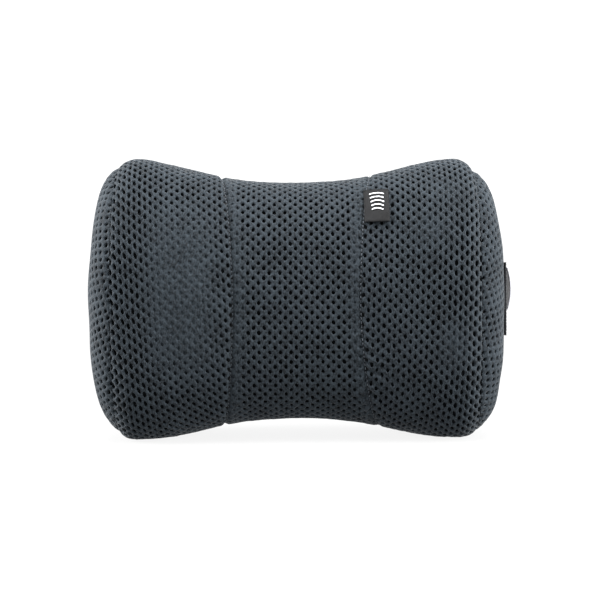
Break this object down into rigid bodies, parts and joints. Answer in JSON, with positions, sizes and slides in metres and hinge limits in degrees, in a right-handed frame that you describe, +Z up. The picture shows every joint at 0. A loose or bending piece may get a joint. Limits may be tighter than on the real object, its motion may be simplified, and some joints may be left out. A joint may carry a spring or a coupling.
{
  "type": "lumbar support cushion",
  "caption": "Hourglass lumbar cushion: foam core in a zipped spacer-mesh cover, with an elastic strap that holds it to a chair back.",
  "frame": {"origin": "on the surface that the cushion stands on, below the middle of its bounding box", "axes": "+X along the cushion's length, +Y out of its flat back, -Y out of its rounded front, +Z up"},
  "size_m": [0.335, 0.1187, 0.219],
  "materials": {
    "spacer_mesh": "knitted polyester spacer mesh, matt",
    "memory_foam": "moulded polyurethane foam, open cell",
    "liner_knit": "thin white polyester knit",
    "zip_tape": "black woven polyester tape",
    "zip_nylon": "black nylon coil",
    "zip_metal": "black lacquered zinc",
    "elastic_webbing": "black ribbed elastic webbing",
    "black_satin": "black woven satin label",
    "white_satin": "white satin ribbon"
  },
  "bodies": {
    "cushion": {"cover_centre_band": "spacer_mesh", "cover_left_band": "spacer_mesh", "cover_right_band": "spacer_mesh", "cover_left_end": "spacer_mesh", "cover_right_end": "spacer_mesh", "cover_back_upper": "spacer_mesh", "cover_back_lower": "spacer_mesh", "zip_end_tab_left": "spacer_mesh", "zip_end_tab_right": "spacer_mesh", "foam_core": "memory_foam", "liner_sleeve": "liner_knit", "liner_left_end": "liner_knit", "liner_right_end": "liner_knit", "zip_tape_upper": "zip_tape", "zip_tape_lower": "zip_tape", "zip_coil_upper": "zip_nylon", "zip_coil_lower": "zip_nylon", "zip_bottom_stop": "zip_metal", "zip_top_stop_upper": "zip_metal", "zip_top_stop_lower": "zip_metal", "chair_strap": "elastic_webbing", "care_label": "white_satin", "flag_label": "black_satin"},
    "slider": {"zip_slider": "zip_metal"},
    "pull": {"zip_pull": "zip_metal"}
  },
  "joints": [
    {"name": "zip_slide", "type": "slide", "parent": "cushion", "child": "slider", "axis": [1, 0, 0], "range_m": [0, 0.214]},
    {"name": "pull_hinge", "type": "hinge", "parent": "slider", "child": "pull", "pos_m": [-0.10985, 0.05725, 0.0495], "axis": [0, 0, 1], "range_deg": [0, 170]}
  ]
}
